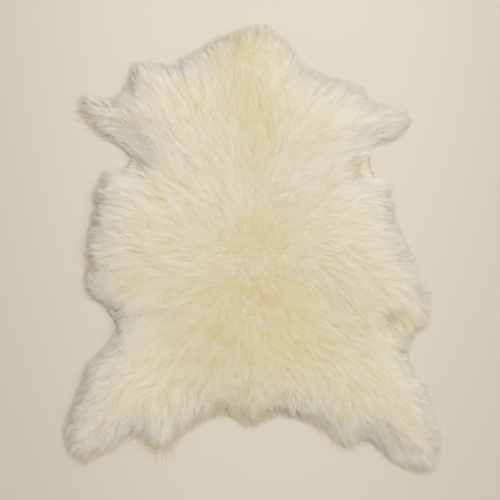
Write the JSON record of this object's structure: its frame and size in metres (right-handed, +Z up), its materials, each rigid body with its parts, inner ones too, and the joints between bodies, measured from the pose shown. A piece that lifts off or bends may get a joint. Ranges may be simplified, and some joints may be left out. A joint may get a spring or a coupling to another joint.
{
  "type": "goatskin rug",
  "caption": "Whole long-haired goat hide laid flat as a rug: neck, forelegs, flanks, hind legs and tail in one outline, with deep combed-out fleece over a thin skin.",
  "frame": {"origin": "under the middle of the rug's outline, on the surface it lies on", "axes": "+Z up out of the fleece, +Y along the back line towards the neck, +X to the right seen from above"},
  "size_m": [0.8916, 1.0556, 0.048],
  "materials": {
    "fleece": "long silky goat hair, cream along the back and whiter at the rim",
    "hide": "tanned skin, suede underneath and bare at the armpits and groins"
  },
  "bodies": {
    "root": {"goatskin": "fleece"}
  },
  "joints": []
}
